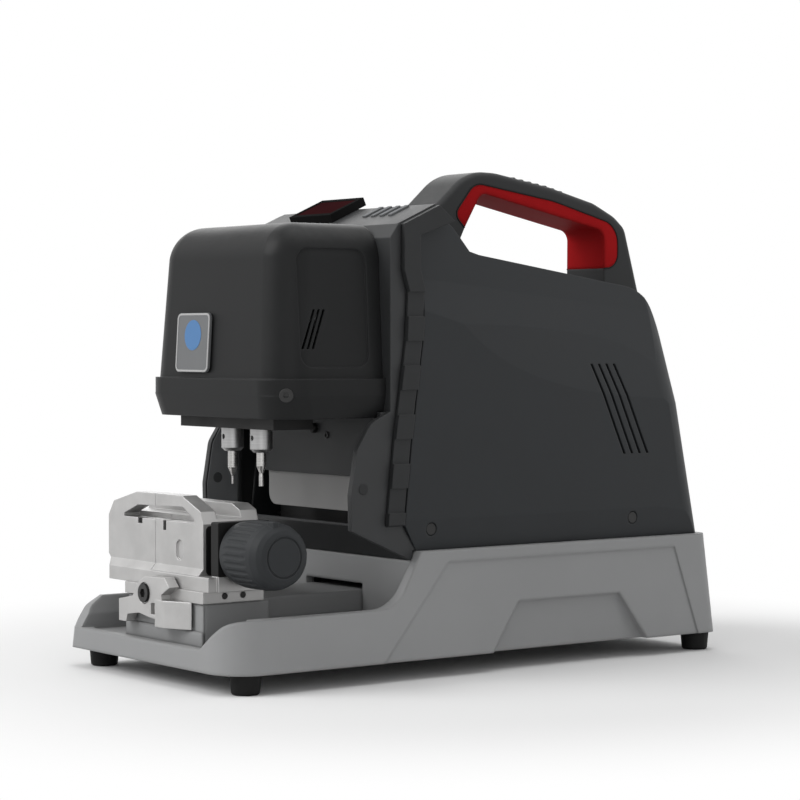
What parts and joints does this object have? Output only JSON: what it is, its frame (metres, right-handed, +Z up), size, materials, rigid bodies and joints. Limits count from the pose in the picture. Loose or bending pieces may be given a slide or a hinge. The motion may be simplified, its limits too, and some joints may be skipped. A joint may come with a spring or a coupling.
{
  "type": "key duplicating machine",
  "caption": "Bench key duplicating machine with a grey tray base, charcoal housing with carrying handle, overhanging head with cutter and probe, and a key clamp on sliding tables.",
  "frame": {"origin": "on the floor under the middle of the base", "axes": "+X to the right seen from the front, +Y to the back along the machine's length, +Z up; clamp and head face -Y"},
  "size_m": [0.19, 0.39, 0.3182],
  "materials": {
    "base_paint": "satin grey paint on a casting",
    "housing_plastic": "charcoal moulded plastic, fine grain",
    "head_plastic": "charcoal moulded plastic, satin",
    "trim_plastic": "dark charcoal moulded plastic",
    "handle_plastic": "charcoal moulded plastic",
    "grip_red": "red moulded lining",
    "foot_rubber": "black rubber",
    "screw_steel": "blackened steel",
    "frame_steel": "black painted steel",
    "clamp_metal": "bead-blasted nickel plated",
    "bright_steel": "ground steel",
    "cutter_metal": "ground tool steel",
    "knob_plastic": "dark grey grained plastic",
    "guard_plastic": "pale satin finish",
    "gloss_black": "black gloss",
    "lens_red": "dark red tinted lens",
    "light_grey": "pale grey light guides",
    "label_face": "plain plate",
    "board_green": "printed board",
    "nut_brass": "turned brass",
    "motor_black": "black motor case",
    "carriage_black": "black anodised",
    "belt_rubber": "belt rubber"
  },
  "bodies": {
    "housing": {"base_casting": "base_paint", "rubber_feet": "foot_rubber", "foot_screws": "screw_steel", "right_side_cover": "housing_plastic", "left_side_cover": "housing_plastic", "cover_screws": "screw_steel", "right_trim_strip": "trim_plastic", "left_trim_strip": "trim_plastic", "front_cover": "housing_plastic", "head_cover": "head_plastic", "head_bottom_plate": "frame_steel", "label_plate": "label_face", "chip_guard": "guard_plastic", "handle_frame": "handle_plastic", "handle_grip": "grip_red", "handle_bracket": "frame_steel", "status_bezel": "gloss_black", "status_lens": "lens_red", "light_bars": "light_grey", "rear_panel": "trim_plastic", "power_inlet": "gloss_black", "column_frame": "frame_steel", "control_board": "board_green", "y_rails": "bright_steel", "y_motor": "motor_black", "z_frame": "frame_steel", "z_rods": "bright_steel", "z_motor": "motor_black"},
    "y_carriage": {"y_blocks": "frame_steel", "y_carriage": "base_paint", "y_nut": "nut_brass", "x_rails": "bright_steel", "x_motor": "motor_black"},
    "y_screw": {"y_screw": "bright_steel"},
    "clamp_table": {"x_blocks": "frame_steel", "x_table": "clamp_metal", "x_nut": "nut_brass", "table_screws": "screw_steel", "clamp_body": "clamp_metal", "lock_bracket": "clamp_metal"},
    "x_screw": {"x_screw": "bright_steel"},
    "clamp_jaw": {"clamp_jaw": "clamp_metal"},
    "clamp_knob": {"clamp_screw": "bright_steel", "clamp_knob": "knob_plastic"},
    "lock_bolt": {"lock_bolt": "screw_steel"},
    "spindle_block": {"spindle_block": "carriage_black", "z_nut": "nut_brass", "spindle_bearings": "bright_steel", "spindle_motor": "motor_black", "drive_belt": "belt_rubber", "probe_holder": "bright_steel", "probe_set_screw": "screw_steel", "probe": "cutter_metal"},
    "z_screw": {"z_screw": "bright_steel"},
    "spindle": {"spindle_shaft": "bright_steel", "cutter_holder": "bright_steel", "cutter_set_screw": "screw_steel", "cutter": "cutter_metal"},
    "motor_shaft": {"motor_shaft": "bright_steel"},
    "power_switch": {"power_switch": "gloss_black"}
  },
  "joints": [
    {"name": "y_slide", "type": "slide", "parent": "housing", "child": "y_carriage", "axis": [0, 1, 0], "range_m": [0, 0.038]},
    {"name": "y_screw_turn", "type": "hinge", "parent": "housing", "child": "y_screw", "pos_m": [0, 0.02, 0.032], "axis": [0, 1, 0], "range_deg": [0, 3420]},
    {"name": "x_slide", "type": "slide", "parent": "y_carriage", "child": "clamp_table", "axis": [1, 0, 0], "range_m": [-0.01, 0.02]},
    {"name": "x_screw_turn", "type": "hinge", "parent": "y_carriage", "child": "x_screw", "pos_m": [0, -0.1595, 0.0435], "axis": [1, 0, 0], "range_deg": [-900, 1800]},
    {"name": "knob_turn", "type": "hinge", "parent": "clamp_table", "child": "clamp_knob", "pos_m": [0.07, -0.1575, 0.08], "axis": [1, 0, 0], "range_deg": [0, 1430]},
    {"name": "jaw_slide", "type": "slide", "parent": "clamp_table", "child": "clamp_jaw", "axis": [1, 0, 0], "range_m": [0, 0.006]},
    {"name": "lock_bolt_turn", "type": "hinge", "parent": "clamp_table", "child": "lock_bolt", "pos_m": [-0.0102, -0.187, 0.0528], "axis": [0, -1, 0], "range_deg": [-180, 0]},
    {"name": "z_slide", "type": "slide", "parent": "housing", "child": "spindle_block", "axis": [0, 0, 1], "range_m": [-0.014, 0.022]},
    {"name": "z_screw_turn", "type": "hinge", "parent": "housing", "child": "z_screw", "pos_m": [0, -0.094, 0.2], "axis": [0, 0, 1], "range_deg": [-1260, 1980]},
    {"name": "cutter_spin", "type": "hinge", "parent": "spindle_block", "child": "spindle", "pos_m": [0.0163, -0.1215, 0.18], "axis": [0, 0, 1], "continuous": true},
    {"name": "motor_spin", "type": "hinge", "parent": "spindle_block", "child": "motor_shaft", "pos_m": [-0.03, -0.1215, 0.18], "axis": [0, 0, 1], "continuous": true},
    {"name": "switch_rock", "type": "hinge", "parent": "housing", "child": "power_switch", "pos_m": [0.022, 0.1852, 0.114], "axis": [1, 0, 0], "range_deg": [0, 16]}
  ],
  "couplings": [
    {"joint": "y_screw_turn", "follows": "y_slide", "rad_per_m": 1570.8},
    {"joint": "x_screw_turn", "follows": "x_slide", "rad_per_m": 1570.8},
    {"joint": "z_screw_turn", "follows": "z_slide", "rad_per_m": 1570.8},
    {"joint": "jaw_slide", "follows": "knob_turn", "m_per_rad": 0.00023873},
    {"joint": "motor_spin", "follows": "cutter_spin", "ratio": 1}
  ]
}
